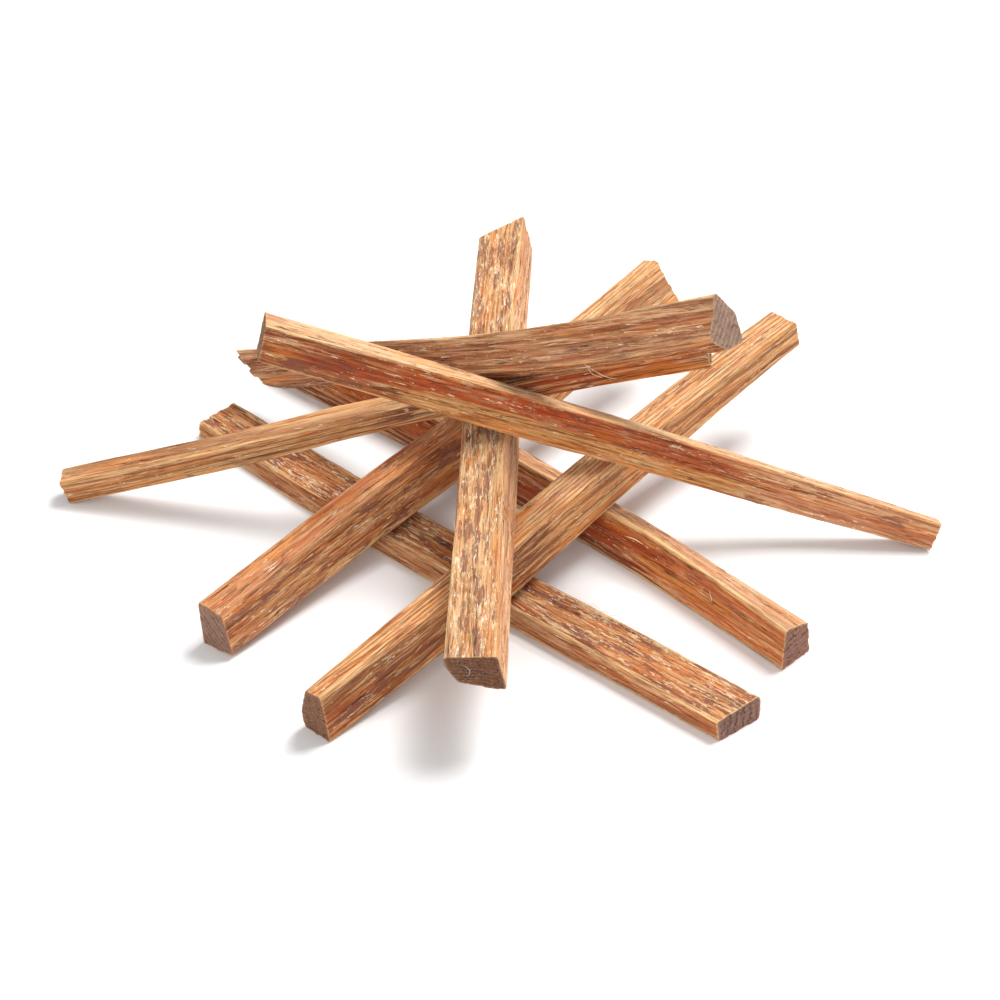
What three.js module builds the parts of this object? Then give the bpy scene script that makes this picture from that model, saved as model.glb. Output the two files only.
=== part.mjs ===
// A crossed pile of eight split fatwood kindling sticks, in millimetres, +Z up.
//
// Each stick is sawn to length from a resinous pine stump and then split by hand, so it has
// four or five rough flat sides, a slight bow, and ends that don't quite match. The sticks
// are loose: two lie flat on the surface, and the others lean on them and on each other.

import * as THREE from 'three';

// Driving dimensions shared by all the sticks.
const ARRIS_RADIUS = 0.9;        // how far a split edge is worn round
const POINTS_PER_ARRIS = 3;      // points on each worn edge
const POINTS_PER_SIDE = 2;       // extra points across each flat side
const STATIONS = 19;             // rings of points along a stick
const SIDE_RIPPLE = 0.18;        // how far a split side wanders from flat
const RIPPLE_WAVES = 5;          // waves of that ripple along a stick
const RESTING_HEIGHT = 0.05;     // anything lower than this lies flat on the surface

// Every stick starts at the centre of one end and runs along its heading, in degrees from
// +X in plan, rising at its pitch. Its sections are spaced evenly from its start to its far
// end, and each lists its corners as [across, up] from the line that the stick runs along:
// across is to the right when looking along the stick, and the corners run
// counter-clockwise as seen from its start. A cut is the slope of a sawn or broken end, as
// millimetres along the stick for each millimetre [across, up].
const sticks = [
  {
    name: 'front_floor_stick',
    colour: '#b98352',
    start: [-85.8, 37.9, 3.6],
    heading: -43.5,
    pitch: 0,
    length: 203,
    sections: [
      [[-7.0, -3.6], [8.0, -3.6], [7.0, 1.6], [-7.3, 2.0]],
      [[-4.5, -3.6], [11.0, -3.6], [9.0, 2.8], [-5.5, 3.0]],
      [[-3.5, -3.6], [10.5, -3.6], [9.5, 3.8], [-5.0, 3.4]],
      [[-5.2, -3.6], [8.5, -3.6], [8.5, 3.4], [-6.4, 3.6]],
      [[-8.0, -3.6], [6.5, -3.6], [7.2, 3.0], [-8.0, 3.8]],
    ],
    startCut: [0, 0],
    endCut: [-0.14, -0.08],
  },
  {
    name: 'rear_floor_stick',
    colour: '#a9603a',
    start: [-65.6, 67.1, 6.0],
    heading: -44.4,
    pitch: 0,
    length: 202,
    sections: [
      [[-5.5, -6.0], [5.0, -6.0], [5.4, 5.0], [-6.0, 5.4]],
      [[-8.6, -6.0], [3.0, -6.0], [0.5, 8.0], [-9.3, 6.4]],
      [[-11.5, -6.0], [1.0, -6.0], [-2.0, 8.2], [-10.2, 4.8]],
      [[-11.0, -6.0], [1.5, -6.0], [-1.2, 8.0], [-9.0, 4.4]],
      [[-7.0, -6.0], [5.0, -6.0], [4.3, 7.5], [-5.0, 5.0]],
    ],
    startCut: [0, 0],
    endCut: [0, 0],
  },
  {
    name: 'right_cross_stick',
    colour: '#c38d55',
    start: [-47.4, -104.6, 8.0],
    heading: 48.2,
    pitch: 7.15,
    length: 199,
    sections: [
      [[-5.4, -8.2], [4.0, -8.2], [3.2, 7.8], [-2.3, 7.5], [-5.8, -3.0]],
      [[-4.0, -5.4], [7.2, -6.2], [6.3, 8.3], [-2.2, 8.6], [-4.4, 2.5]],
      [[-6.5, -6.5], [5.3, -7.6], [3.6, 5.4], [-5.0, 6.2], [-6.8, 3.6]],
      [[-8.8, -7.8], [3.4, -8.2], [1.6, 2.5], [-7.3, 3.0], [-9.1, 0.6]],
      [[-5.4, -4.4], [6.5, -3.8], [5.2, 4.2], [-4.2, 4.2], [-5.5, 2.0]],
    ],
    startCut: [0, 0],
    endCut: [0, 0],
  },
  {
    name: 'left_cross_stick',
    colour: '#b7682f',
    start: [-76.7, -69.3, 7.6],
    heading: 48.0,
    pitch: 8.19,
    length: 188,
    sections: [
      [[-5.3, -8.4], [6.5, -6.0], [3.6, 6.3], [-4.9, 7.0]],
      [[-4.7, -8.8], [6.8, -6.6], [3.3, 6.5], [-5.2, 6.0]],
      [[-3.2, -8.6], [8.4, -7.2], [3.9, 6.7], [-4.2, 5.1]],
      [[-2.4, -8.0], [9.2, -7.3], [3.8, 7.2], [-3.5, 4.8]],
      [[-3.6, -7.0], [8.2, -7.2], [1.8, 7.8], [-4.4, 4.9]],
    ],
    startCut: [0.03, 0.08],
    endCut: [0.05, -0.09],
  },
  {
    name: 'centre_stick',
    colour: '#c09263',
    start: [-6.5, -109.6, 26.0],
    heading: 87.7,
    pitch: 5.18,
    length: 187,
    sections: [
      [[-4.2, -3.8], [8.2, -6.0], [5.9, 6.0], [-7.9, 5.0], [-7.5, 2.3]],
      [[-6.2, -4.8], [8.5, -6.0], [4.9, 5.6], [-7.5, 4.2], [-7.3, -0.6]],
      [[-7.2, -5.4], [8.3, -5.8], [4.4, 5.8], [-7.7, 3.5], [-7.7, -1.0]],
      [[-7.5, -5.6], [8.5, -5.4], [4.8, 6.6], [-7.8, 3.2], [-7.9, -1.2]],
      [[-6.8, -5.7], [9.2, -5.3], [6.2, 7.6], [-7.4, 2.9], [-7.3, -1.4]],
    ],
    startCut: [0, 0],
    endCut: [0.35, 0.03],
  },
  {
    name: 'long_leaning_stick',
    colour: '#c29b6c',
    start: [-126.4, 1.2, 4.4],
    heading: -5.3,
    pitch: 17.06,
    length: 193,
    sections: [
      [[-4.5, -3.4], [3.1, -4.8], [3.9, 3.6], [-2.7, 4.5]],
      [[-5.3, -2.0], [3.4, -3.9], [4.0, 3.5], [-3.0, 4.7]],
      [[-5.6, 0.0], [3.4, -1.9], [3.6, 4.8], [-3.5, 5.8]],
      [[-5.5, 0.2], [3.4, -1.2], [3.2, 5.0], [-3.6, 4.6]],
      [[-4.5, -2.6], [3.4, -3.2], [3.1, 4.2], [-3.8, 3.9]],
    ],
    startCut: [0, 0],
    endCut: [0, 0],
  },
  {
    name: 'broken_stick',
    colour: '#a3754c',
    start: [-71.7, 44.5, 16.6],
    heading: -34.7,
    pitch: 24.76,
    length: 174,
    sections: [
      [[-4.0, -6.0], [0.5, -7.0], [5.5, -3.3], [4.1, 8.9], [-7.0, 3.1]],
      [[-5.0, -7.0], [1.0, -7.3], [3.5, -4.0], [2.2, 6.6], [-8.4, 1.3]],
      [[-2.0, -7.2], [5.0, -7.5], [9.0, -4.0], [4.6, 5.8], [-5.8, 0.4]],
      [[0.0, -7.8], [6.5, -7.6], [11.4, -3.2], [5.4, 7.1], [-4.3, 1.3]],
      [[-4.0, -7.6], [3.0, -6.8], [9.0, -1.0], [0.5, 8.7], [-4.6, 0.4]],
    ],
    startCut: [0, -0.75],
    endCut: [0, 0],
  },
  {
    name: 'top_stick',
    colour: '#c17c3f',
    start: [-64.4, -19.4, 68.5],
    heading: -0.7,
    pitch: -19.01,
    length: 198,
    sections: [
      [[-3.6, -6.4], [4.6, -5.3], [3.4, 5.7], [-4.7, 5.4]],
      [[-2.3, -2.4], [6.5, -4.2], [4.4, 7.8], [-2.7, 6.6]],
      [[-5.2, -3.2], [3.1, -5.8], [0.7, 6.3], [-5.8, 4.5]],
      [[-7.4, -6.0], [0.5, -6.8], [-1.7, 4.4], [-7.7, 2.4]],
      [[-2.5, -4.7], [3.9, -3.5], [2.7, 5.7], [-2.8, 3.7]],
    ],
    startCut: [0.11, -0.08],
    endCut: [0.14, 0.02],
  },
];

// A section's outline: each corner is an arc of a few points, and each side between two
// corners has a few points of its own.
function sectionOutline(corners) {
  const outline = [];
  corners.forEach((corner, index) => {
    const before = corners.at(index - 1);
    const after = corners[(index + 1) % corners.length];
    const arrive = before.clone().sub(corner).setLength(ARRIS_RADIUS).add(corner);
    const leave = after.clone().sub(corner).setLength(ARRIS_RADIUS).add(corner);
    const arc = new THREE.QuadraticBezierCurve(arrive, corner, leave);
    outline.push(...arc.getPoints(POINTS_PER_ARRIS - 1));
    const sideEnd = corner.clone().sub(after).setLength(ARRIS_RADIUS).add(after);
    for (let step = 1; step <= POINTS_PER_SIDE; step += 1) {
      outline.push(leave.clone().lerp(sideEnd, step / (POINTS_PER_SIDE + 1)));
    }
  });
  return outline;
}

// The smooth run of sections along a stick: the corners at any fraction of its length.
function cornersAlong(sections) {
  const places = sections.map((corners, index) => index / (sections.length - 1));
  const values = sections.flat(2);
  const smooth = new THREE.CubicInterpolant(places, values, values.length / places.length);
  return (fraction) => {
    const numbers = smooth.evaluate(fraction);
    return sections[0].map((corner, index) => (
      new THREE.Vector2(numbers[2 * index], numbers[2 * index + 1])
    ));
  };
}

// How far a point on a split side stands proud at a fraction of the way along. It fades
// out at the ends.
function sideRipple(index, fraction, stickNumber) {
  const phase = index * 1.7 + stickNumber * 2.3;
  const wave = Math.sin(fraction * RIPPLE_WAVES * Math.PI + phase);
  return SIDE_RIPPLE * wave * Math.sin(Math.PI * fraction);
}

// A stick's closed skin, along its own +X. Where it would dip below the surface that the
// pile lies on, it is pressed flat against it.
function stickGeometry(stick, stickNumber) {
  const cornersAt = cornersAlong(stick.sections);
  const rise = Math.sin(THREE.MathUtils.degToRad(stick.pitch));
  const level = Math.cos(THREE.MathUtils.degToRad(stick.pitch));
  const positions = [];
  let around = 0;
  for (let station = 0; station < STATIONS; station += 1) {
    const fraction = station / (STATIONS - 1);
    const outline = sectionOutline(cornersAt(fraction));
    around = outline.length;
    outline.forEach((point, index) => {
      const startLean = stick.startCut[0] * point.x + stick.startCut[1] * point.y;
      const endLean = stick.endCut[0] * point.x + stick.endCut[1] * point.y;
      const along = stick.length * fraction + startLean * (1 - fraction) + endLean * fraction;
      const height = stick.start[2] + along * rise + point.y * level;
      if (height < RESTING_HEIGHT) {
        point.y -= height / level;
      } else {
        point.setLength(point.length() + sideRipple(index, fraction, stickNumber));
      }
      positions.push(along, -point.x, point.y);
    });
  }
  const faces = [];
  for (let station = 0; station + 1 < STATIONS; station += 1) {
    for (let index = 0; index < around; index += 1) {
      const next = (index + 1) % around;
      const here = station * around;
      const there = here + around;
      faces.push(here + index, there + index, there + next);
      faces.push(here + index, there + next, here + next);
    }
  }
  const lastRing = (STATIONS - 1) * around;
  for (let index = 1; index + 1 < around; index += 1) {
    faces.push(0, index, index + 1);
    faces.push(lastRing, lastRing + index + 1, lastRing + index);
  }
  const geometry = new THREE.BufferGeometry();
  geometry.setAttribute('position', new THREE.Float32BufferAttribute(positions, 3));
  geometry.setIndex(faces);
  geometry.computeVertexNormals();
  return geometry;
}

const pile = new THREE.Group();
sticks.forEach((stick, stickNumber) => {
  const material = new THREE.MeshStandardMaterial({
    color: stick.colour,
    roughness: 0.75,
    metalness: 0,
  });
  const mesh = new THREE.Mesh(stickGeometry(stick, stickNumber), material);
  mesh.name = stick.name;
  mesh.position.set(...stick.start);
  mesh.rotation.set(
    0,
    THREE.MathUtils.degToRad(-stick.pitch),
    THREE.MathUtils.degToRad(stick.heading),
    'ZYX',
  );
  pile.add(mesh);
});

// The origin is under the middle of the pile, on the surface that it lies on.
const extent = new THREE.Box3().setFromObject(pile, true);
const middle = extent.getCenter(new THREE.Vector3());
pile.position.set(-middle.x, -middle.y, -extent.min.z);

export default pile;
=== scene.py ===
import math

import bmesh
import bpy
import numpy as np
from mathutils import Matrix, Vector
from mathutils.bvhtree import BVHTree


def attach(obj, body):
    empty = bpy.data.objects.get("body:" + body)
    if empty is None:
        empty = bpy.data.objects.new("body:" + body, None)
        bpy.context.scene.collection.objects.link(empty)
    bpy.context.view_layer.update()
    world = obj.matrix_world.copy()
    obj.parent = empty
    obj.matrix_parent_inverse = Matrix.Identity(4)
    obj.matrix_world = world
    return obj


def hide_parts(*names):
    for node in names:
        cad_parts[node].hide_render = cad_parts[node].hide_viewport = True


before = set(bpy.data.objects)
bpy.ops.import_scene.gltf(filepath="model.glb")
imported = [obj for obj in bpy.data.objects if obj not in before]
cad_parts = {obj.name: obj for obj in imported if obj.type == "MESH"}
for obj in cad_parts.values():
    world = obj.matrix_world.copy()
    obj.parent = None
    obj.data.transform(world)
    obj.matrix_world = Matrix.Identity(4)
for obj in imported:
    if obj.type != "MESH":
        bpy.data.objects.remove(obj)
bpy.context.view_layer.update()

scene = bpy.context.scene
scene.view_settings.view_transform = "Standard"


# The camera stands in front of the pile and looks down on it, as a person at a table does,
# through a short telephoto lens.
LOOK_AT = Vector((0.0014, 0.0154, 0.0))
CAMERA_DISTANCE = 0.7301
CAMERA_ELEVATION = math.radians(36)
LENS_MM = 90
SENSOR_MM = 36

camera = bpy.data.objects.new("camera", bpy.data.cameras.new("camera"))
scene.collection.objects.link(camera)
camera.data.lens = LENS_MM
camera.data.sensor_width = SENSOR_MM
camera.data.clip_start = 0.01
camera.location = LOOK_AT + CAMERA_DISTANCE * Vector(
    (0, -math.cos(CAMERA_ELEVATION), math.sin(CAMERA_ELEVATION))
)
camera.rotation_euler = (math.pi / 2 - CAMERA_ELEVATION, 0, 0)
scene.camera = camera


# The studio: a matt pale table top under one large soft lamp, with a weaker one in front
# and white walls all round.
FLOOR_SIZE = 8.0

floor_mesh = bpy.data.meshes.new("floor")
half = FLOOR_SIZE / 2
floor_mesh.from_pydata(
    [(-half, -half, 0), (half, -half, 0), (half, half, 0), (-half, half, 0)], [], [(0, 1, 2, 3)]
)
floor = bpy.data.objects.new("floor", floor_mesh)
scene.collection.objects.link(floor)
floor_paint = bpy.data.materials.new("matt pale table top")
floor_paint.use_nodes = True
floor_shader = floor_paint.node_tree.nodes["Principled BSDF"]
floor_shader.inputs["Base Color"].default_value = (0.9, 0.9, 0.9, 1)
floor_shader.inputs["Roughness"].default_value = 0.9
floor_shader.inputs["Specular IOR Level"].default_value = 0.1
floor_mesh.materials.append(floor_paint)

walls = bpy.data.worlds.new("white walls")
walls.use_nodes = True
walls.node_tree.nodes["Background"].inputs["Color"].default_value = (1, 1, 1, 1)
walls.node_tree.nodes["Background"].inputs["Strength"].default_value = 0.52
scene.world = walls


def soft_lamp(name, place, width, watts):
    """A square area lamp that shines at the middle of the pile."""
    lamp = bpy.data.lights.new(name, "AREA")
    lamp.size = width
    lamp.energy = watts
    stand = bpy.data.objects.new(name, lamp)
    scene.collection.objects.link(stand)
    stand.location = place
    stand.rotation_euler = (-Vector(place)).to_track_quat("-Z", "Y").to_euler()


soft_lamp("overhead lamp", (0.40, 0.30, 1.0), 0.50, 14)
soft_lamp("front lamp", (-0.4, -1.2, 0.8), 0.9, 7)


# The front floor stick: a wide, flat split of resinous pine that lies along the table. It
# was split twice from a thicker billet, so its top is torn across the growth rings.
MM = 1000                   # millimetres in a metre
RINGS = 230                 # rings of points along a stick's skin
RING_POINTS = 176           # points round each ring
CAP_RINGS = 14              # rings of points across a sawn end
MEASURING_RINGS = 40        # coarser rings that find the centre line of a stick
MEASURING_POINTS = 32
CENTRING_PASSES = 3         # each pass moves the centre line nearer to the true middle
LINE_DEGREE = 5             # how wavy the centre line may be
FINE_POINTS = 721           # points round the average section, before they are spaced out
FIRST_BLUR = 0.012          # the stretch of corners that gives a first centre line
END_MARGIN = 0.00003        # how far inside the solid's end the first ring lies
HAIRLINE = 0.01             # millimetres: tells the two ends apart where they are cut
END_FACE_COSINE = 0.6       # a face that looks this much along the stick is its end
ARRIS_REACH = 3             # an arris shows in how the skin turns over this many points
FULL_ARRIS_TURN = 0.5
BREAK_LENGTH = 14.0         # millimetres of a stick's end that its break can reach
TABLE_GAP = 0.00002         # the least height of the skin over the table
SHARP_EDGE = math.radians(55)
NOISE_GAIN = 2.0            # noise is spread out so that it nearly fills 0 to 1
DARK_RESIN = (0.44, 0.19, 0.10, 1.0)
AMBER_RESIN = (1.0, 0.58, 0.27, 1.0)


class Wire:
    """An output in a node tree. Arithmetic on it adds Math nodes to the tree."""

    def __init__(self, tree, socket):
        self.tree = tree
        self.socket = socket

    def node(self, kind, values, output=0, **settings):
        return add_node(self.tree, kind, values, output, **settings)

    def maths(self, operation, first, second=None):
        terms = {0: first} if second is None else {0: first, 1: second}
        kind = "ShaderNodeVectorMath" if self.socket.type == "VECTOR" else "ShaderNodeMath"
        return self.node(kind, terms, operation=operation)

    def __add__(self, other):
        return self.maths("ADD", self, other)

    def __radd__(self, other):
        return self.maths("ADD", other, self)

    def __sub__(self, other):
        return self.maths("SUBTRACT", self, other)

    def __rsub__(self, other):
        return self.maths("SUBTRACT", other, self)

    def __mul__(self, other):
        return self.maths("MULTIPLY", self, other)

    def __rmul__(self, other):
        return self.maths("MULTIPLY", other, self)

    def __truediv__(self, other):
        return self.maths("DIVIDE", self, other)

    def __rtruediv__(self, other):
        return self.maths("DIVIDE", other, self)

    def __pow__(self, other):
        return self.maths("POWER", self, other)

    def size(self):
        return self.maths("ABSOLUTE", self)

    def part_of(self, place):
        """One of the three parts of a direction or place."""
        return self.node("ShaderNodeSeparateXYZ", {0: self}, place)

    def channel(self, place):
        """The red, green or blue of a colour."""
        return self.node("ShaderNodeSeparateColor", {0: self}, place)

    def fraction(self):
        return self.maths("FRACT", self)

    def along(self, direction):
        return self.node(
            "ShaderNodeVectorMath", {0: self, 1: direction}, operation="DOT_PRODUCT"
        )

    def times(self, amount):
        return self.node(
            "ShaderNodeVectorMath", {0: self, "Scale": amount}, operation="SCALE"
        )

    def rise(self, low, high):
        """0 below low and 1 above high, with a smooth step between."""
        return self.node(
            "ShaderNodeMapRange",
            {"Value": self, "From Min": low, "From Max": high},
            interpolation_type="SMOOTHSTEP",
        )

    def noise(self, along, across, seed, detail=3.0, roughness=0.55):
        """Noise on a grain place in millimetres: features per mm along and across the grain."""
        place = self * (along, across, across) + (seed * 7.3, seed * 3.1, seed * 5.7)
        values = {"Vector": place, "Scale": 1.0, "Detail": detail, "Roughness": roughness}
        return (self.node("ShaderNodeTexNoise", values) - 0.5) * NOISE_GAIN + 0.5

    def paint(self, over, colour):
        """Where this mask is 1 the colour covers what is under it."""
        values = {"Factor": self, "A": over, "B": colour}
        return self.node("ShaderNodeMix", values, data_type="RGBA")


def add_node(tree, kind, values, output=0, **settings):
    """Any node: its settings come first, then each input by its name or its place."""
    node = tree.nodes.new(kind)
    for setting, value in settings.items():
        setattr(node, setting, value)
    shown = [socket for socket in node.inputs if socket.enabled]
    named = {socket.name: socket for socket in reversed(shown)}
    for key, value in values.items():
        socket = shown[key] if isinstance(key, int) else named[key]
        if isinstance(value, Wire):
            tree.links.new(value.socket, socket)
        else:
            socket.default_value = value
    results = [socket for socket in node.outputs if socket.enabled]
    return Wire(tree, results[output])


def colour(code):
    """A colour as a shader takes it, from its six-digit code."""
    parts = []
    for place in (0, 2, 4):
        shown = int(code[place:place + 2], 16) / 255
        parts.append(((shown + 0.055) / 1.055) ** 2.4 if shown > 0.04045 else shown / 12.92)
    return (*parts, 1.0)


def solid_of(node):
    """The CAD stick as one welded solid, ready for rays, with its points."""
    weld = bmesh.new()
    weld.from_mesh(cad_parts[node].data)
    bmesh.ops.remove_doubles(weld, verts=weld.verts, dist=1e-6)
    weld.normal_update()
    points = np.array([vertex.co for vertex in weld.verts])
    faces = [
        (np.array(face.normal), np.array(face.calc_center_median()), face.calc_area())
        for face in weld.faces
    ]
    tree = BVHTree.FromBMesh(weld)
    weld.free()
    return tree, points, faces


def end_slope(faces, middle, axes, side):
    """The plane of a sawn end: its place along the stick and its slope [across, up]."""
    ends = [face for face in faces if face[0] @ axes[0] * side > END_FACE_COSINE]
    normals, centres, areas = (np.array(column) for column in zip(*ends))
    normal = axes @ (areas @ normals / areas.sum())
    centre = axes @ (areas @ centres / areas.sum() - middle)
    slope = -normal[1:] / normal[0]
    return centre[0] - slope @ centre[1:], slope


def ring_reach(tree, middle, axes, place, centre, slope, angles):
    """How far the solid's surface is from the centre line, at each angle of a ring."""
    origin = middle + axes.T @ np.array([place + slope @ centre, *centre])
    reach = []
    for angle in angles:
        flat = np.array([math.cos(angle), math.sin(angle)])
        ray = axes.T @ np.array([slope @ flat, *flat])
        distance = tree.ray_cast(Vector(origin), Vector(ray))[3]
        reach.append(distance / np.linalg.norm(ray))
    return np.array(reach)


def stick_skin(node):
    """A fine closed skin on a CAD stick, as a mesh with the grain's own coordinates.

    Rings of points follow the solid from one end plane to the other. Each point keeps its
    place in the grain, along, across and up in millimetres, and the way its side faces.
    """
    tree, points, faces = solid_of(node)
    middle = points.mean(0)
    longest = np.linalg.eigh(np.cov((points - middle).T))[1][:, 2]
    axis = longest * np.sign(longest[0] + 0.2 * longest[1])
    across = np.cross(axis, (0, 0, 1))
    across /= np.linalg.norm(across)
    axes = np.array([axis, across, np.cross(across, axis)])
    start, start_slope = end_slope(faces, middle, axes, -1)
    end, far_slope = end_slope(faces, middle, axes, 1)
    start += END_MARGIN
    end -= END_MARGIN

    def slope_at(share):
        return (1 - share) * start_slope + share * far_slope

    # The centre line: the middle of each section, smoothed by a low polynomial.
    shares = np.linspace(0, 1, MEASURING_RINGS)
    angles = np.linspace(0, 2 * math.pi, MEASURING_POINTS, endpoint=False)
    local = (points - middle) @ axes.T
    nearness = (start + (end - start) * shares)[:, None] - local[:, 0]
    nearness = np.exp(-(nearness / FIRST_BLUR) ** 2)
    centres = nearness @ local[:, 1:] / nearness.sum(1)[:, None]
    circle = np.stack([np.cos(angles), np.sin(angles)], 1)
    for attempt in range(CENTRING_PASSES):
        for index, share in enumerate(shares):
            place = start + (end - start) * share
            reach = ring_reach(
                tree, middle, axes, place, centres[index], slope_at(share), angles
            )
            outline = circle * reach[:, None]
            centres[index] += (outline * reach[:, None] ** 2).sum(0) / (reach ** 2).sum()
        line = np.polynomial.Polynomial.fit(shares, centres[:, 0], LINE_DEGREE)
        rise = np.polynomial.Polynomial.fit(shares, centres[:, 1], LINE_DEGREE)
        centres = np.stack([line(shares), rise(shares)], 1)

    # Angles that space the points evenly round the average section, from under the stick.
    fine = np.linspace(-math.pi / 2, 1.5 * math.pi, FINE_POINTS)
    average = np.zeros(FINE_POINTS)
    samples = (0.1, 0.3, 0.5, 0.7, 0.9)
    for share in samples:
        centre = np.array([line(share), rise(share)])
        place = start + (end - start) * share
        reach = ring_reach(tree, middle, axes, place, centre, slope_at(share), fine)
        average += reach / len(samples)
    outline = np.stack([np.cos(fine), np.sin(fine)], 1) * average[:, None]
    walked = np.concatenate([[0], np.cumsum(np.linalg.norm(np.diff(outline, axis=0), axis=1))])
    angles = np.interp(
        np.linspace(0, walked[-1], RING_POINTS, endpoint=False), walked, fine
    )
    circle = np.stack([np.cos(angles), np.sin(angles)], 1)

    places = []
    grain = []
    end_nearness = []
    rims = []
    for share in np.linspace(0, 1, RINGS):
        centre = np.array([line(share), rise(share)])
        slope = slope_at(share)
        place = start + (end - start) * share
        reach = ring_reach(tree, middle, axes, place, centre, slope, angles)
        flat = circle * reach[:, None]
        along = place + (flat + centre) @ slope
        ring = np.column_stack([along, flat + centre])
        places.append(ring)
        grain.append(np.column_stack([along, flat]))
        from_start = (place - start) * MM
        from_end = (end - place) * MM
        signed = from_end + HAIRLINE if from_end < from_start else -from_start - HAIRLINE
        end_nearness.append(np.full(RING_POINTS, signed))
        rims.append((centre, slope, place, flat))
    for (centre, slope, place, flat), sign in ((rims[0], -1), (rims[-1], 1)):
        for step in range(1, CAP_RINGS):
            inner = flat * (1 - step / CAP_RINGS)
            along = place + (inner + centre) @ slope
            places.append(np.column_stack([along, inner + centre]))
            grain.append(np.column_stack([along, inner]))
            end_nearness.append(np.full(RING_POINTS, sign * HAIRLINE))
        places.append(np.array([[place + centre @ slope, *centre]]))
        grain.append(np.array([[place + centre @ slope, 0, 0]]))
        end_nearness.append(np.full(1, sign * HAIRLINE))

    skin = bpy.data.meshes.new(node)
    vertices = middle + np.concatenate(places) @ axes
    skin.from_pydata(vertices.tolist(), [], skin_faces())
    skin.update()
    grain = np.concatenate(grain) * MM
    normals = np.zeros(len(vertices) * 3)
    skin.vertex_normals.foreach_get("vector", normals)
    facing = normals.reshape(-1, 3) @ axes.T
    store(skin, "grain", "FLOAT_VECTOR", grain)
    store(skin, "facing", "FLOAT_VECTOR", facing)
    store(skin, "from_end", "FLOAT", np.concatenate(end_nearness))
    store(skin, "edge", "FLOAT", arris_share(facing))
    return skin, axis


def store(mesh, name, kind, values):
    attribute = mesh.attributes.new(name, kind, "POINT")
    field = "vector" if kind == "FLOAT_VECTOR" else "value"
    attribute.data.foreach_set(field, np.asarray(values, np.float32).ravel())


def skin_faces():
    """The faces of a skin: the long side, then the start cap, then the far cap."""
    faces = []
    side = RINGS * RING_POINTS
    cap = (CAP_RINGS - 1) * RING_POINTS + 1

    def band(first, second, turned):
        for point in range(RING_POINTS):
            after = (point + 1) % RING_POINTS
            quad = (first + point, first + after, second + after, second + point)
            faces.append(quad[::-1] if turned else quad)

    for ring in range(RINGS - 1):
        band(ring * RING_POINTS, (ring + 1) * RING_POINTS, True)
    for rim, inside, turned in (
        (0, side, False),
        ((RINGS - 1) * RING_POINTS, side + cap, True),
    ):
        rings = [rim] + [inside + step * RING_POINTS for step in range(CAP_RINGS - 1)]
        for first, second in zip(rings, rings[1:]):
            band(first, second, turned)
        centre = inside + cap - 1
        for point in range(RING_POINTS):
            after = (point + 1) % RING_POINTS
            corner = (rings[-1] + point, rings[-1] + after, centre)
            faces.append(corner[::-1] if turned else corner)
    return faces


def arris_share(facing):
    """1 on an arris or the rim of an end, and 0 on the flat of a side."""
    side = facing[:RINGS * RING_POINTS].reshape(RINGS, RING_POINTS, 3)
    turn = 1 - (np.roll(side, ARRIS_REACH, 1) * np.roll(side, -ARRIS_REACH, 1)).sum(2)
    share = np.clip(turn / FULL_ARRIS_TURN, 0, 1)
    share[0] = 1
    share[-1] = 1
    caps = []
    for step in range(1, CAP_RINGS):
        caps.append(np.full(RING_POINTS, 0.15 if step == 1 else 0.0))
    caps.append(np.zeros(1))
    return np.concatenate([share.ravel(), *caps, *caps])


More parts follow.
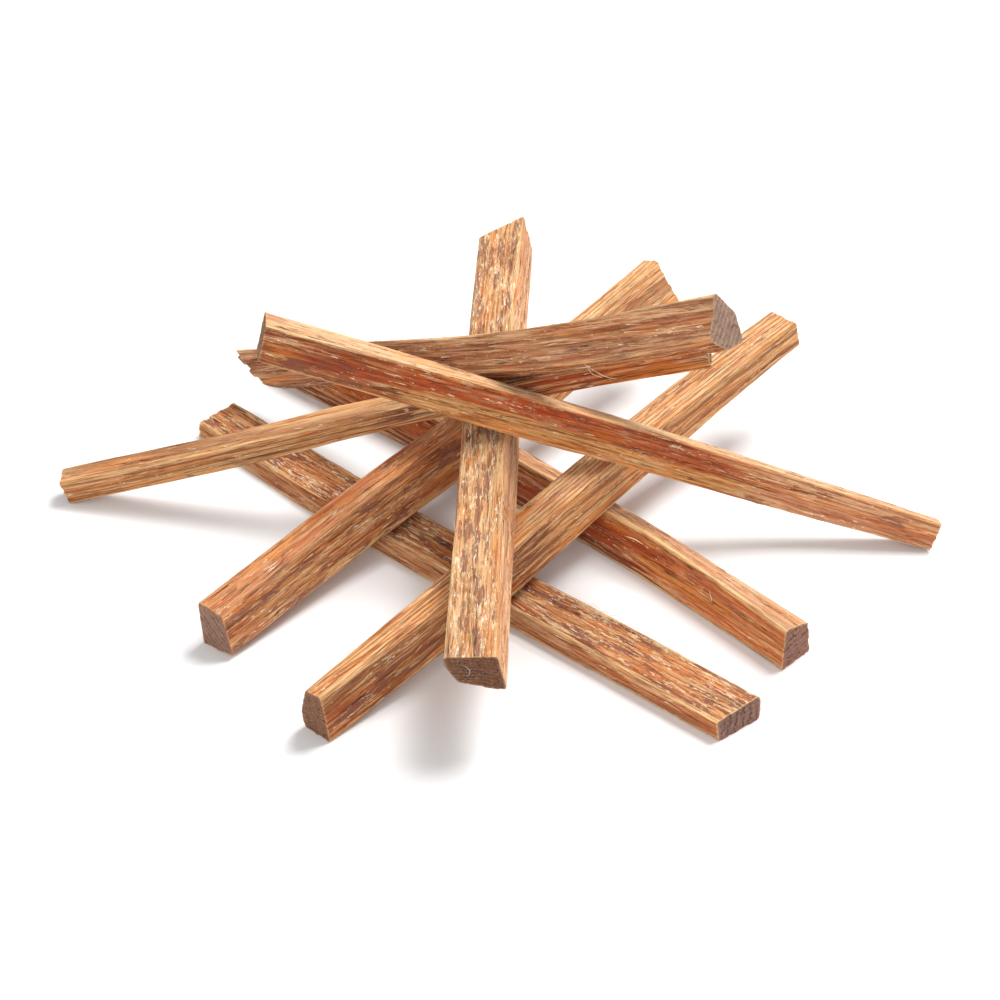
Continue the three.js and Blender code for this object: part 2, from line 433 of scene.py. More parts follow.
def relief_tree():
    """Geometry Nodes that turn a smooth skin into split wood.

    The surface is lifted into long ridges and torn hollows, the ends are broken into short
    fingers, and loose splinters of the same wood are set along the grain.
    """
    tree = bpy.data.node_groups.new("split relief", "GeometryNodeTree")
    face = tree.interface
    face.new_socket("Geometry", in_out="INPUT", socket_type="NodeSocketGeometry")
    sizes = (
        ("Grain direction", "NodeSocketVector"),
        ("Ridge height", "NodeSocketFloat"),
        ("Torn depth", "NodeSocketFloat"),
        ("Start break", "NodeSocketFloat"),
        ("Far break", "NodeSocketFloat"),
        ("Finger width", "NodeSocketFloat"),
        ("Splinters per square metre", "NodeSocketFloat"),
        ("Splinter length", "NodeSocketFloat"),
        ("Seed", "NodeSocketInt"),
        ("Splinter material", "NodeSocketMaterial"),
    )
    for name, kind in sizes:
        face.new_socket(name, in_out="INPUT", socket_type=kind)
    face.new_socket("Geometry", in_out="OUTPUT", socket_type="NodeSocketGeometry")
    asked = tree.nodes.new("NodeGroupInput")
    given = {socket.name: Wire(tree, socket) for socket in asked.outputs}
    direction = given["Grain direction"]
    seed = given["Seed"] * 1.0

    def read(name, kind):
        return add_node(tree, "GeometryNodeInputNamedAttribute", {"Name": name}, data_type=kind)

    grain = read("grain", "FLOAT_VECTOR")
    from_end = read("from_end", "FLOAT")
    place = grain + add_node(
        tree, "ShaderNodeCombineXYZ", {"X": seed * 31.7, "Y": seed * 17.3, "Z": seed * 11.9}
    )
    # Heights are in metres. Ridges run the length of the stick, torn hollows are shorter.
    flat = 1.0 - read("edge", "FLOAT") * 0.75
    swell = (place.noise(0.02, 0.10, 1, 2.0) - 0.5) * 0.0004
    ridges = place.noise(0.03, 0.75, 2, 4.0, 0.6) - 0.5
    fibres = place.noise(0.09, 2.3, 3, 3.0, 0.6) - 0.5
    torn = (place.noise(0.14, 0.8, 4, 4.0, 0.6) + fibres * 0.3).rise(0.52, 0.64) * flat
    height = swell + (ridges + fibres * 0.4) * given["Ridge height"] * flat
    height = height - torn * given["Torn depth"]
    normal = add_node(tree, "GeometryNodeInputNormal", {})
    is_side = add_node(
        tree, "FunctionNodeCompare",
        {"A": add_node(tree, "GeometryNodeInputMaterialIndex", {}), "B": 0},
        data_type="INT", operation="EQUAL",
    )
    cap_height = (place.noise(0.0, 2.2, 5, 3.0, 0.7) - 0.5) * 0.00015
    lift = add_node(
        tree, "GeometryNodeSwitch", {"Switch": is_side, "False": cap_height, "True": height},
        input_type="FLOAT",
    )

    # The ends: each finger of fibres stops a different distance short of the saw cut.
    section = grain * (0.0, 1.0, 1.0) + place.noise(0.0, 0.4, 6, 2.0) * 0.4
    cell = add_node(
        tree, "ShaderNodeTexVoronoi",
        {"Vector": section.times(1.0 / given["Finger width"]), "Scale": 1.0}, 1,
    )
    finger = cell.part_of(0) ** 1.6
    at_far_end = (from_end * MM).rise(-0.5, 0.5)
    near_end = 1.0 - (from_end.size() / BREAK_LENGTH).rise(0.0, 1.0)
    far = finger * given["Far break"] * near_end * at_far_end
    near = finger * given["Start break"] * near_end * (1.0 - at_far_end)
    shift = direction.times(near - far)

    moved = add_node(
        tree, "GeometryNodeSetPosition",
        {"Geometry": given["Geometry"], "Offset": normal.times(lift) + shift},
    )
    # Nothing goes below the table that the pile lies on.
    where = add_node(tree, "GeometryNodeInputPosition", {})
    depth = where.part_of(2)
    pressed = depth.maths("MAXIMUM", depth, TABLE_GAP) - depth
    resting = add_node(
        tree, "GeometryNodeSetPosition",
        {"Geometry": moved, "Offset": add_node(tree, "ShaderNodeCombineXYZ", {"Z": pressed})},
    )

    # Loose splinters: thin four-sided wedges that lie almost flat along the grain.
    inland = from_end.size().rise(4.0, 7.0) * normal.part_of(2).rise(-0.6, -0.2)
    points = add_node(
        tree, "GeometryNodeDistributePointsOnFaces",
        {
            "Mesh": resting,
            "Selection": is_side,
            "Density": torn * inland * given["Splinters per square metre"],
            "Seed": given["Seed"],
        },
    )
    lie = Wire(tree, points.socket.node.outputs["Normal"])

    def chance(low, high, offset):
        return add_node(
            tree, "FunctionNodeRandomValue",
            {"Min": low, "Max": high, "Seed": given["Seed"] + offset},
            data_type="FLOAT",
        )

    sense = chance(-1.0, 1.0, 1).rise(-0.01, 0.01) * 2.0 - 1.0
    lean = direction.times(sense) + lie.times(chance(-0.02, 0.22, 2))
    upright = add_node(
        tree, "FunctionNodeAlignRotationToVector", {"Vector": lean}, axis="Z"
    )
    turned = add_node(
        tree, "FunctionNodeAlignRotationToVector",
        {"Rotation": upright, "Vector": lie}, axis="X", pivot_axis="Z",
    )
    length = chance(0.35, 1.0, 3) * given["Splinter length"]
    stretch = add_node(
        tree, "ShaderNodeCombineXYZ",
        {"X": chance(0.00004, 0.00010, 4), "Y": chance(0.00007, 0.0002, 5), "Z": length},
    )
    wedge = add_node(
        tree, "GeometryNodeMeshCone",
        {"Vertices": 4, "Radius Top": 0.12, "Radius Bottom": 1.0, "Depth": 1.0},
    )
    placed = add_node(
        tree, "GeometryNodeInstanceOnPoints",
        {"Points": points, "Instance": wedge, "Rotation": turned, "Scale": stretch},
    )
    toned = add_node(
        tree, "GeometryNodeStoreNamedAttribute",
        {"Geometry": placed, "Name": "tone", "Value": chance(0.0, 1.0, 6)},
        data_type="FLOAT", domain="INSTANCE",
    )
    real = add_node(tree, "GeometryNodeRealizeInstances", {"Geometry": toned})
    painted = add_node(
        tree, "GeometryNodeSetMaterial",
        {"Geometry": real, "Material": given["Splinter material"]},
    )
    joined = tree.nodes.new("GeometryNodeJoinGeometry")
    tree.links.new(painted.socket, joined.inputs[0])
    tree.links.new(resting.socket, joined.inputs[0])
    result = tree.nodes.new("NodeGroupOutput")
    tree.links.new(joined.outputs[0], result.inputs[0])
    return tree


RELIEF = relief_tree()


def attribute_wire(tree, name):
    return add_node(tree, "ShaderNodeAttribute", {}, 1, attribute_name=name)


def amount_wire(tree, name):
    return add_node(tree, "ShaderNodeAttribute", {}, 2, attribute_name=name)


def own_grain(tree, seed):
    """The grain place, moved so that each stick has its own patch of the noise."""
    return attribute_wire(tree, "grain") + (seed * 37.0, seed * 13.0, seed * 29.0)


def wood_shader(material, paint, roughness, bump_height, bump_depth):
    """Joins a colour, a roughness and a bump to the material's own shader."""
    tree = material.node_tree
    shader = tree.nodes["Principled BSDF"]
    bump = add_node(
        tree, "ShaderNodeBump",
        {"Strength": 1.0, "Distance": bump_depth, "Height": bump_height},
    )
    tree.links.new(paint.socket, shader.inputs["Base Color"])
    tree.links.new(roughness.socket, shader.inputs["Roughness"])
    tree.links.new(bump.socket, shader.inputs["Normal"])
    shader.inputs["Specular IOR Level"].default_value = 0.22


def ring_place(grain, growth):
    """Counts growth rings: growth is the way they run [across, up] and rings per mm."""
    across, up, rings_per_mm = growth
    wander = grain.noise(0.008, 0.10, 11, 2.0) * 0.9 + grain.noise(0.03, 0.5, 12, 2.0) * 0.2
    return grain.along((0.0, across * rings_per_mm, up * rings_per_mm)) + wander


def split_side(name, seed, growth, looks, edge_highlight=0.35):
    """The long split sides of a stick: fibres, growth rings, resin, torn patches and a painted
    highlight along the arrises.

    looks is a list of (toward, span, tone, marks, wear). toward is the way a side faces,
    across and up, and how nearly it must face that way, or None for the whole stick. span is
    the stretch it covers in millimetres from the stick's middle, and how far up its side it
    starts if that is given, or None for its full length. marks are how much rust, torn
    patches and flakes it has, and wear is how much amber, bleached wood and ring lines.
    """
    material = bpy.data.materials.new(name)
    material.use_nodes = True
    tree = material.node_tree
    cream, plum, rust, umber = (colour(c) for c in ("f8d3a4", "8a4e3c", "a83a0e", "3c1a0c"))
    place = attribute_wire(tree, "grain")
    grain = own_grain(tree, seed)
    facing = attribute_wire(tree, "facing")
    edge = amount_wire(tree, "edge")
    fibre = grain.noise(0.055, 1.3, 1, 6.0, 0.68)
    hair = grain.noise(0.09, 3.6, 3, 4.0, 0.6)
    ragged = place.part_of(0) + (fibre - 0.5) * 30.0

    base = marks = wear = None
    for toward, span, tone, some_marks, some_wear in looks:
        if toward is None:
            base, marks, wear = colour(tone), (*some_marks, 1.0), (*some_wear, 1.0)
            continue
        across, up, lowest, highest = toward
        length = math.hypot(across, up)
        direction = (0.0, across / length, up / length)
        weight = facing.along(direction).rise(lowest, highest)
        if span:
            begun = ragged.rise(span[0] - 8.0, span[0] + 8.0)
            weight = weight * begun * (1.0 - ragged.rise(span[1] - 8.0, span[1] + 8.0))
        if span and len(span) > 2:
            height = place.part_of(2) + (fibre - 0.5) * 2.0
            weight = weight * height.rise(span[2] - 0.6, span[2] + 0.6)
        base = weight.paint(base, colour(tone))
        marks = weight.paint(marks, (*some_marks, 1.0))
        wear = weight.paint(wear, (*some_wear, 1.0))
    rusty, torn, flaky = (marks.channel(index) for index in range(3))
    amber, bleached, lined = (wear.channel(index) for index in range(3))

    lighter = add_node(
        tree, "ShaderNodeMix", {"Factor": 0.50, "A": base, "B": cream}, data_type="RGBA"
    )
    deeper = add_node(
        tree, "ShaderNodeMix", {"Factor": 1.0, "A": base, "B": DARK_RESIN},
        data_type="RGBA", blend_type="MULTIPLY",
    )
    warmer = add_node(
        tree, "ShaderNodeMix", {"Factor": 1.0, "A": base, "B": AMBER_RESIN},
        data_type="RGBA", blend_type="MULTIPLY",
    )
    band = grain.noise(0.012, 0.40, 2, 4.0, 0.60) + (fibre - 0.5) * 0.3
    paint = (band.rise(0.40, 0.62) * 0.8).paint(base, warmer)
    paint = (fibre + (hair - 0.5) * 0.5).rise(0.50, 0.72).paint(paint, lighter)
    paint = ((0.44 - fibre + (0.5 - hair) * 0.45).rise(0.0, 0.16) * 0.8).paint(paint, deeper)
    thread = (grain.noise(0.018, 1.15, 13, 3.0, 0.6) - 0.5).size()
    thread = (1.0 - thread.rise(0.008, 0.05)) * hair.rise(0.3, 0.52)
    paint = (thread * 0.75).paint(paint, deeper)

    phase = (ring_place(grain, growth) + (hair - 0.5) * 0.15).fraction()
    late = phase.rise(0.55, 0.86) * (1.0 - phase.rise(0.92, 0.99))
    paint = (late * lined * (0.5 + fibre)).paint(paint, deeper)

    # Each mark covers more of the wood as its amount goes from 0 to 1.
    glow = grain.noise(0.02, 0.20, 5, 3.0) + (fibre - 0.5) * 0.25 + (amber - 1.0) * 0.3
    paint = (glow.rise(0.40, 0.60) * (0.15 + fibre * 0.8)).paint(paint, colour("e0812c"))
    stain = grain.noise(0.022, 0.17, 4, 4.0, 0.6) + (fibre - 0.5) * 0.4
    stain = stain + (rusty - 1.0) * 0.3
    paint = (stain.rise(0.44, 0.60) * (0.15 + hair * 0.9)).paint(paint, rust)

    tear = grain.noise(0.075, 0.46, 6, 5.0, 0.60) + (hair - 0.5) * 0.15 + (torn - 1.0) * 0.3
    hollow = tear.rise(0.50, 0.58)
    paint = (hollow * 0.85).paint(paint, plum)
    lifted = grain.noise(0.15, 0.85, 7, 5.0, 0.70) + (hair - 0.5) * 0.2 + (flaky - 1.0) * 0.3
    flake = lifted.rise(0.55, 0.66)
    paint = (flake * 0.85).paint(paint, cream)
    paint = (bleached * (0.1 + fibre)).paint(paint, cream)

    crack = (grain.noise(0.014, 0.75, 8, 3.0) - 0.5).size()
    slit = (1.0 - crack.rise(0.006, 0.024)) * grain.noise(0.02, 0.3, 9, 2.0).rise(0.5, 0.65)
    paint = (slit * 0.8).paint(paint, umber)
    fleck = grain.noise(0.35, 1.9, 10, 3.0, 0.7) + (grain.noise(0.05, 0.3, 14, 2.0) - 0.5) * 0.4
    fleck = (fleck + (flaky - 1.0) * 0.22).rise(0.70, 0.78)
    paint = (fleck * 0.85).paint(paint, colour("fbead2"))
    # Painted highlight: the arrises are lightened to pale gold, broken up by the fibres.
    edge_highlight_mask = edge.rise(0.35, 0.8) * (0.2 + (fibre + hair).rise(0.8, 1.2)) * edge_highlight
    paint = edge_highlight_mask.paint(paint, colour("f2c88e"))

    height = fibre * 0.9 + hair * 0.5 - hollow * 0.6 + flake * 0.6 - slit
    wood_shader(material, paint, 0.48 + fibre * 0.35, height, 0.0003)
    return material


def sawn_end(name, seed, tones, growth, speckle=0.5, contrast=0.8):
    """A sawn end: growth rings seen end on, with pale sawdust and torn fibre on them."""
    material = bpy.data.materials.new(name)
    material.use_nodes = True
    tree = material.node_tree
    light, dark, rim = (colour(tone) for tone in tones)
    grain = own_grain(tree, seed)
    edge = amount_wire(tree, "edge")
    pores = grain.noise(0.0, 3.2, 1, 5.0, 0.7)
    rays = grain.noise(0.0, 0.6, 2, 3.0, 0.6)
    phase = (ring_place(grain, growth) + (pores - 0.5) * 0.25).fraction()
    late = phase.rise(0.35, 0.75) * (1.0 - phase.rise(0.86, 0.98))
    paint = (late * contrast * (0.3 + rays.rise(0.3, 0.6) * 0.7)).paint(light, dark)
    paint = (rays.rise(0.45, 0.75) * 0.45).paint(paint, dark)
    mottle = grain.noise(0.0, 1.3, 3, 4.0, 0.7)
    paint = (mottle.rise(0.55, 0.75) * 0.5).paint(paint, dark)
    paint = ((1.0 - mottle).rise(0.60, 0.80) * 0.4).paint(paint, rim)
    dust = (pores + (rays - 0.5) * 0.3).rise(0.64, 0.80)
    paint = (dust * speckle).paint(paint, colour("dcc6ae"))
    paint = (edge * (0.35 + pores * 0.9)).paint(paint, rim)
    wood_shader(material, paint, 0.7 + pores * 0.2, pores - late * 0.4, 0.0004)
    return material


def loose_fibre():
    """Splinters that have come half away and dried: cream, straw or amber."""
    material = bpy.data.materials.new("loose fibre")
    material.use_nodes = True
    tree = material.node_tree
    tone = amount_wire(tree, "tone")
    place = add_node(tree, "ShaderNodeTexCoord", {}, 3).times(MM)
    streak = place.noise(0.9, 0.9, 1, 3.0)
    paint = tone.rise(0.0, 0.5).paint(colour("9c5a2c"), colour("d79b56"))
    paint = tone.rise(0.4, 0.9).paint(paint, colour("f1dcb8"))
    paint = (streak.rise(0.45, 0.7) * 0.35).paint(paint, colour("a8683a"))
    wood_shader(material, paint, 0.6 + streak * 0.2, streak, 0.0001)
    return material


LOOSE_FIBRE = loose_fibre()


def split_stick(node, side, ends, sizes):
    skin, axis = stick_skin(node)
    for material in (side, ends):
        skin.materials.append(material)
    side_faces = (RINGS - 1) * RING_POINTS
    indices = np.ones(len(skin.polygons), np.int32)
    indices[:side_faces] = 0
    skin.polygons.foreach_set("material_index", indices)
    rough = bpy.data.objects.new(node + "_rough", skin)
    scene.collection.objects.link(rough)
    modifier = rough.modifiers.new("split relief", "NODES")
    modifier.node_group = RELIEF
    wanted = {
        "Grain direction": tuple(float(part) for part in axis),
        "Splinter material": LOOSE_FIBRE,
        **sizes,
    }
    for item in RELIEF.interface.items_tree:
        if item.in_out == "INPUT" and item.name in wanted:
            modifier[item.identifier] = wanted[item.name]
    ready = rough.evaluated_get(bpy.context.evaluated_depsgraph_get())
    wood = bpy.data.meshes.new_from_object(ready)
    wood.name = node + "_wood"
    bpy.data.objects.remove(rough)
    wood.shade_smooth()
    wood.set_sharp_from_angle(angle=SHARP_EDGE)
    stick = bpy.data.objects.new(node + "_wood", wood)
    scene.collection.objects.link(stick)
    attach(stick, "root")
    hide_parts(node)


# The ways that a side can face: across, up, and how nearly it must face that way before its
# look starts and is full. Across is toward the right or the viewer.
TOP = (0, 1, 0.62, 0.80)
FRONT = (1, 0.15, 0.62, 0.80)
UPPER_ARRIS = (1, 1.1, 0.88, 0.96)
LOWER_ARRIS = (1, -0.6, 0.86, 0.95)

split_stick(
    "front_floor_stick",
    split_side(
        "torn tan split pine",
        seed=1,
        growth=(0.95, 0.30, 0.45),
        looks=[
            (None, None, "c08a5e", (0.3, 0.3, 0.3), (0.2, 0.1, 0.4)),
            (TOP, None, "d0925c", (0.25, 0.9, 0.8), (0.3, 0.05, 0.3)),
            (FRONT, None, "c28558", (0.4, 0.1, 0.1), (0.3, 0.1, 0.5)),
        ],
        # How strongly the painted highlight lightens its arrises.
        edge_highlight=0.85,
    ),
    sawn_end(
        "sawn end of torn tan pine",
        seed=1,
        tones=("a57a6c", "6b4740", "e2bd97"),
        growth=(0.95, 0.10, 0.45),
    ),
    {
        "Ridge height": 0.00010,
        "Torn depth": 0.00028,
        "Start break": 0.0007,
        "Far break": 0.0003,
        "Finger width": 2.4,
        "Splinters per square metre": 260000.0,
        "Splinter length": 0.005,
        "Seed": 1,
    },
)


# The rear floor stick: redder heartwood full of resin. Its front was split clean and shows
# amber, and its narrow top is bleached pink.
split_stick(
    "rear_floor_stick",
    split_side(
        "amber resinous split pine",
        seed=2,
        growth=(0.2, 0.95, 0.55),
        looks=[
            (None, None, "a56b45", (0.4, 0.3, 0.2), (0.3, 0.1, 0.4)),
            (TOP, None, "cc9a78", (0.1, 0.3, 0.3), (0.1, 0.35, 0.6)),
            # The front keeps a darker brown below 2.2 mm under the centre line, and the lower
            # arris is darker brown too: painted shade along the underside.
            (FRONT, None, "9c5f3c", (0.2, 0.35, 0.15), (0.1, 0.0, 0.6)),
            (FRONT, (-120, 110, -2.2), "c67a47", (0.8, 0.2, 0.4), (0.5, 0.0, 0.3)),
            (FRONT, (48, 110), "d98f55", (0.3, 0.05, 0.3), (0.6, 0.1, 0.2)),
            (LOWER_ARRIS, None, "a5683f", (0.3, 0.3, 0.1), (0.2, 0.0, 0.6)),
        ],
        # How strongly the painted highlight lightens its arrises.
        edge_highlight=0.8,
    ),
    sawn_end(
        "sawn end of amber pine",
        seed=2,
        tones=("b08070", "80503f", "e0ac80"),
        growth=(0.3, 0.95, 0.5),
        speckle=0.8,
    ),
    {
        "Ridge height": 0.00010,
        "Torn depth": 0.0002,
        "Start break": 0.0004,
        "Far break": 0.0004,
        "Finger width": 2.0,
        "Splinters per square metre": 120000.0,
        "Splinter length": 0.005,
        "Seed": 2,
    },
)


# The right cross stick: the straightest split of the pile, golden and finely lined, and
# browner on the side where it was torn from the billet.
split_stick(
    "right_cross_stick",
    split_side(
        "golden lined split pine",
        seed=3,
        growth=(0.95, -0.2, 0.8),
        looks=[
            (None, None, "b98255", (0.2, 0.3, 0.2), (0.2, 0.1, 0.6)),
            (TOP, None, "dda96f", (0.1, 0.1, 0.3), (0.2, 0.1, 0.85)),
            (FRONT, None, "b27a4c", (0.15, 0.45, 0.25), (0.15, 0.0, 0.5)),
            (TOP, (-15, 110), "e4b986", (0.0, 0.15, 0.3), (0.0, 0.2, 1.0)),
            (FRONT, (-15, 110), "dda76c", (0.0, 0.15, 0.35), (0.15, 0.15, 0.9)),
        ],
    ),
    sawn_end(
        "sawn end of golden pine",
        seed=3,
        tones=("a57555", "6a4232", "cf9d78"),
        growth=(0.1, 0.98, 0.85),
    ),
    {
        "Ridge height": 0.00009,
        "Torn depth": 0.00018,
        "Start break": 0.0003,
        "Far break": 0.0006,
        "Finger width": 1.8,
        "Splinters per square metre": 130000.0,
        "Splinter length": 0.005,
        "Seed": 3,
    },
)


# The left cross stick: a square split with rust-red resin bands on cream, and brown torn
# patches on its right side.
split_stick(
    "left_cross_stick",
    split_side(
        "rust banded split pine",
        seed=4,
        growth=(0.85, 0.5, 0.5),
        looks=[
            (None, None, "b98055", (0.3, 0.3, 0.2), (0.2, 0.1, 0.4)),
            (TOP, None, "dd9f6c", (0.85, 0.25, 0.5), (0.6, 0.1, 0.3)),
            (FRONT, None, "d19660", (0.2, 0.8, 0.5), (0.3, 0.05, 0.35)),
            (TOP, (20, 110), "ecc08a", (0.1, 0.1, 0.2), (0.3, 0.2, 0.9)),
            (FRONT, (20, 110), "dfae78", (0.1, 0.1, 0.2), (0.3, 0.2, 0.9)),
        ],
    ),
    sawn_end(
        "sawn end of rust banded pine",
        seed=4,
        tones=("b08a76", "7a5546", "d99058"),
        growth=(0.75, 0.66, 0.6),
    ),
    {
        "Ridge height": 0.00010,
        "Torn depth": 0.00022,
        "Start break": 0.0003,
        "Far break": 0.0008,
        "Finger width": 2.2,
        "Splinters per square metre": 160000.0,
        "Splinter length": 0.005,
        "Seed": 4,
    },
)


# The centre stick: it lies across the cross sticks and points at the viewer. Its top is torn
# into purple-brown blotches and cream flakes, and its right side is pale and smooth.
split_stick(
    "centre_stick",
    split_side(
        "blotched cream split pine",
        seed=5,
        growth=(0.97, 0.1, 0.4),
        looks=[
            (None, None, "c69468", (0.2, 0.4, 0.3), (0.2, 0.15, 0.4)),
            (TOP, None, "dba873", (0.15, 0.9, 0.9), (0.3, 0.15, 0.2)),
            (FRONT, None, "e6b48c", (0.1, 0.05, 0.3), (0.05, 0.3, 0.5)),
            (UPPER_ARRIS, None, "e0924c", (0.1, 0.1, 0.3), (0.7, 0.1, 0.3)),
        ],
    ),
    sawn_end(
        "sawn end of blotched pine",
        seed=5,
        tones=("8a5a40", "4e2c1e", "caa07a"),
        growth=(0.05, 0.99, 0.9),
        speckle=0.6,
    ),
    {
        "Ridge height": 0.00010,
        "Torn depth": 0.00030,
        "Start break": 0.0004,
        "Far break": 0.002,
        "Finger width": 4.5,
        "Splinters per square metre": 240000.0,
        "Splinter length": 0.005,
        "Seed": 5,
    },
)


# The long leaning stick: the thinnest split, pale and smooth, with a few dark ring lines. It
# leans up to the left from under the top stick.
split_stick(
    "long_leaning_stick",
    split_side(
        "pale smooth split pine",
        seed=6,
        growth=(0.2, 0.97, 0.5),
        looks=[
            (None, None, "b9845a", (0.1, 0.2, 0.1), (0.1, 0.2, 0.6)),
            (TOP, None, "dcae78", (0.0, 0.15, 0.2), (0.15, 0.3, 0.9)),
            (FRONT, None, "cf9a60", (0.0, 0.2, 0.25), (0.15, 0.15, 0.9)),
            (FRONT, (2, 16, -1.5), "86603f", (0.0, 1.1, 0.0), (0.0, 0.0, 0.5)),
            # From 28 mm past the middle the top is painted dark brown: painted shadow of the
            # broken stick that lies over it.
            (TOP, (28, 100), "9a6844", (0.1, 0.3, 0.1), (0.1, 0.0, 0.8)),
            (FRONT, (25, 100), "b56a3c", (0.3, 0.1, 0.1), (0.3, 0.0, 0.6)),
        ],
    ),
    sawn_end(
        "sawn end of pale pine",
        seed=6,
        tones=("b98a68", "855c42", "ddb48c"),
        growth=(0.3, 0.95, 0.6),
    ),
    {
        "Ridge height": 0.00007,
        "Torn depth": 0.00012,
        "Start break": 0.0004,
        "Far break": 0.001,
        "Finger width": 1.6,
        "Splinters per square metre": 90000.0,
        "Splinter length": 0.004,
        "Seed": 6,
    },
)


# The broken stick: brown wood with dark ring stripes. One end was snapped and left ragged
# fingers, and the other was sawn to a D shape.
split_stick(
    "broken_stick",
    split_side(
        "brown striped split pine",
        seed=7,
        growth=(0.35, 0.93, 0.5),
        looks=[
            (None, None, "a87450", (0.2, 0.3, 0.2), (0.1, 0.1, 0.7)),
            (TOP, None, "cf9b72", (0.05, 0.3, 0.3), (0.1, 0.2, 0.7)),
            (FRONT, None, "c89068", (0.1, 0.3, 0.4), (0.1, 0.15, 0.7)),
            (LOWER_ARRIS, None, "b4794f", (0.2, 0.2, 0.3), (0.1, 0.0, 0.5)),
        ],
    ),
    sawn_end(
        "sawn D-shaped end",
        seed=7,
        tones=("b08f7c", "80604e", "cfa480"),
        growth=(0.5, 0.86, 0.6),
        contrast=0.5,
    ),
    {
        "Ridge height": 0.00011,
        "Torn depth": 0.00022,
        "Start break": 0.003,
        "Far break": 0.0003,
        "Finger width": 3.0,
        "Splinters per square metre": 160000.0,
        "Splinter length": 0.007,
        "Seed": 7,
    },
)


# The top stick: it lies over all the others. Its front is rust and amber resin over golden
# wood, and a cream strip runs along its top.
split_stick(
    "top_stick",
    split_side(
        "rust and gold split pine",
        seed=8,
        growth=(0.3, 0.95, 0.5),
        looks=[
            (None, None, "b0754a", (0.3, 0.3, 0.2), (0.2, 0.1, 0.4)),
            (TOP, None, "e3ba8e", (0.1, 0.15, 0.3), (0.3, 0.4, 0.3)),
            (FRONT, None, "d79a58", (0.15, 0.15, 0.45), (0.35, 0.05, 0.4)),
            (FRONT, (-110, 45, 0.0), "c8784a", (0.85, 0.4, 0.55), (0.45, 0.0, 0.3)),
            (FRONT, (-110, -60), "b4734a", (0.7, 0.6, 0.5), (0.3, 0.0, 0.3)),
            (FRONT, (45, 110), "e0a678", (0.4, 0.1, 0.35), (0.25, 0.15, 0.7)),
        ],
    ),
    sawn_end(
        "sawn end of rust and gold pine",
        seed=8,
        tones=("b98a68", "855c42", "e0b488"),
        growth=(0.3, 0.95, 0.6),
    ),
    {
        "Ridge height": 0.00009,
        "Torn depth": 0.0002,
        "Start break": 0.0002,
        "Far break": 0.0004,
        "Finger width": 1.8,
        "Splinters per square metre": 140000.0,
        "Splinter length": 0.004,
        "Seed": 8,
    },
)


# Stray fibres: single hairs and slivers that the saw and the axe pulled out of the wood.
# They dried into curls and lie loose on the stick that they came from.
HAIR_SIDES = 5
HAIR_STEPS = 5              # steps along a hair from each of its points to the next
STRAW_TONE = 0.9            # near the palest of the loose fibre's colours


def hair(points, thickness):
    """The rings of a thin round fibre that tapers toward both tips, along a smooth line."""
    knots = [Vector(point) / MM for point in points]
    knots = [2 * knots[0] - knots[1], *knots, 2 * knots[-1] - knots[-2]]
    line = []
    for index in range(1, len(knots) - 2):
        before, first, second, after = knots[index - 1:index + 3]
        for step in range(HAIR_STEPS):
            share = step / HAIR_STEPS
            line.append(
                first
                + (second - before) * share / 2
                + (2 * before - 5 * first + 4 * second - after) * share ** 2 / 2
                + (3 * first - before - 3 * second + after) * share ** 3 / 2
            )
    line.append(knots[-2])
    rings = []
    for index, centre in enumerate(line):
        ahead = (line[min(index + 1, len(line) - 1)] - line[max(index - 1, 0)]).normalized()
        side = ahead.orthogonal().normalized()
        top = ahead.cross(side)
        share = index / (len(line) - 1)
        radius = thickness / 2 * (0.25 + 0.75 * math.sin(math.pi * share)) / MM
        ring = []
        for corner in range(HAIR_SIDES):
            turn = 2 * math.pi * corner / HAIR_SIDES
            ring.append(centre + radius * (side * math.cos(turn) + top * math.sin(turn)))
        rings.append(ring)
    return rings


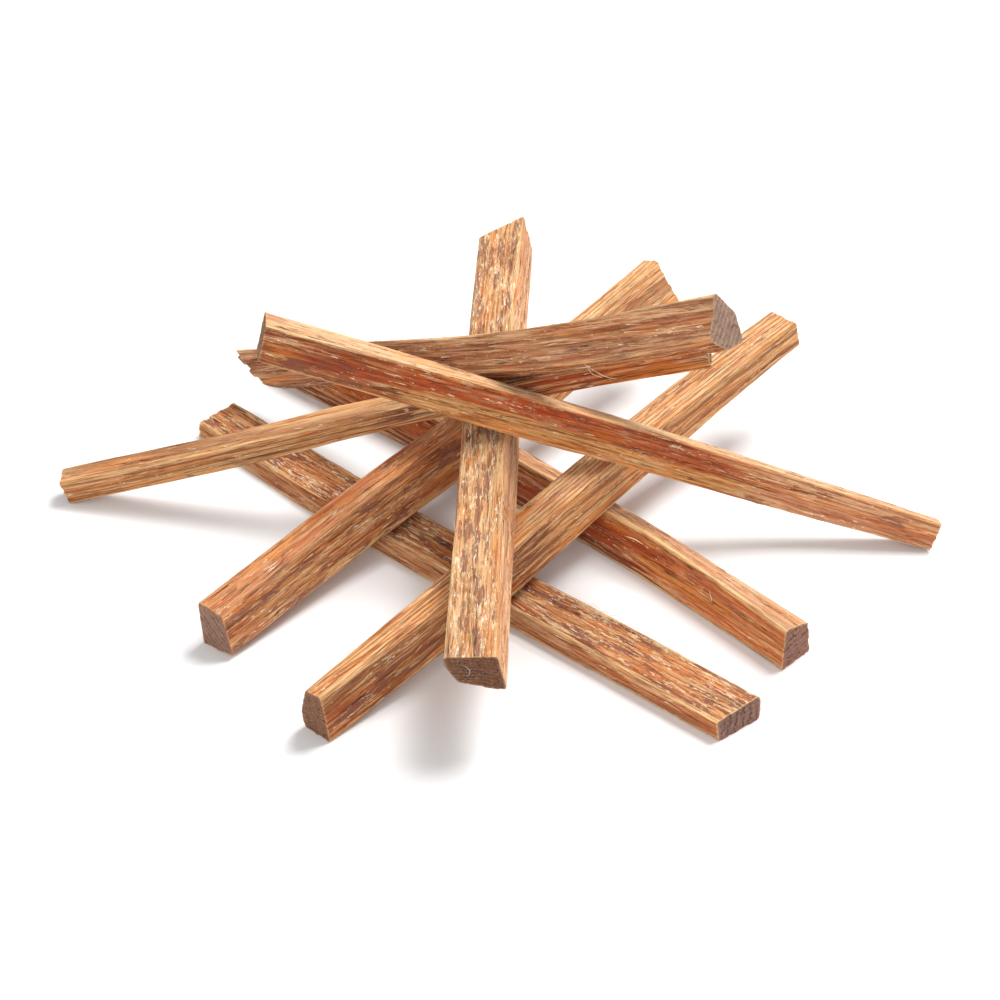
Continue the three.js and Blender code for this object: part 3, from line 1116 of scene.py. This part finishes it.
def stray_fibres(name, fibres, thickness):
    """One object with all the loose fibres of a stick."""
    points = []
    faces = []
    for fibre in fibres:
        rings = hair(fibre, thickness)
        first = len(points)
        for ring in rings:
            points += ring
        for step in range(len(rings) - 1):
            for corner in range(HAIR_SIDES):
                here = first + step * HAIR_SIDES
                after = (corner + 1) % HAIR_SIDES
                faces.append((
                    here + corner,
                    here + after,
                    here + HAIR_SIDES + after,
                    here + HAIR_SIDES + corner,
                ))
        faces.append(tuple(first + corner for corner in reversed(range(HAIR_SIDES))))
        last = first + (len(rings) - 1) * HAIR_SIDES
        faces.append(tuple(last + corner for corner in range(HAIR_SIDES)))
    mesh = bpy.data.meshes.new(name)
    mesh.from_pydata(points, [], faces)
    mesh.shade_smooth()
    mesh.materials.append(LOOSE_FIBRE)
    store(mesh, "tone", "FLOAT", np.full(len(points), STRAW_TONE))
    hairs = bpy.data.objects.new(name, mesh)
    scene.collection.objects.link(hairs)
    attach(hairs, "root")


def tuft(centre, along, spread, count, seed):
    """Short curled hairs, scattered round a place on top of a stick."""
    chance = np.random.default_rng(seed)
    middle = Vector(centre)
    direction = Vector(along).normalized()
    across = Vector((direction.y, -direction.x, 0))
    fibres = []
    for index in range(count):
        root = middle + direction * chance.normal(0, spread) + across * chance.normal(0, 1.7)
        angle = chance.normal(0, 0.8)
        length = chance.uniform(1.5, 3.6)
        ahead = direction * math.cos(angle) + across * math.sin(angle)
        bend = across * chance.normal(0, 0.5)
        lift = Vector((0, 0, chance.uniform(0.2, 0.7)))
        fibres.append([root, root + ahead * length / 2 + bend + lift, root + ahead * length])
    return fibres


stray_fibres(
    "curled_fibre",
    [
        [(23.2, -18.9, 69.9), (26.0, -20.2, 68.4), (29.0, -21.4, 67.2), (32.4, -21.4, 66.2)],
        [(24.5, -19.0, 69.2), (25.6, -20.6, 67.6), (28.4, -21.9, 67.0)],
    ],
    0.22,
)
stray_fibres(
    "rear_floor_slivers",
    [
        [(55.0, -36.6, 7.6), (57.0, -38.8, 7.4), (58.9, -41.3, 7.2)],
        [(58.2, -39.9, 10.2), (58.7, -40.8, 8.5), (59.1, -41.6, 7.0)],
        [(36.0, -18.9, 12.6), (38.5, -21.2, 13.2), (41.0, -23.4, 13.0)],
    ],
    0.3,
)
stray_fibres(
    "front_floor_hairs",
    tuft((28.0, -47.5, 7.3), (0.73, -0.68, 0), 5.0, 26, 21)
    + tuft((44.0, -60.0, 7.3), (0.73, -0.68, 0), 9.0, 16, 22),
    0.12,
)
stray_fibres(
    "centre_hairs",
    [
        [
            (-7.6, -94.6, 28.6),
            (-6.7, -94.9, 28.3),
            (-6.2, -94.9, 27.4),
            (-6.3, -94.9, 26.2),
            (-7.0, -94.6, 25.4),
        ],
    ]
    + tuft((-6.6, -60.0, 33.6), (0.04, 1.0, 0), 16.0, 24, 23),
    0.13,
)
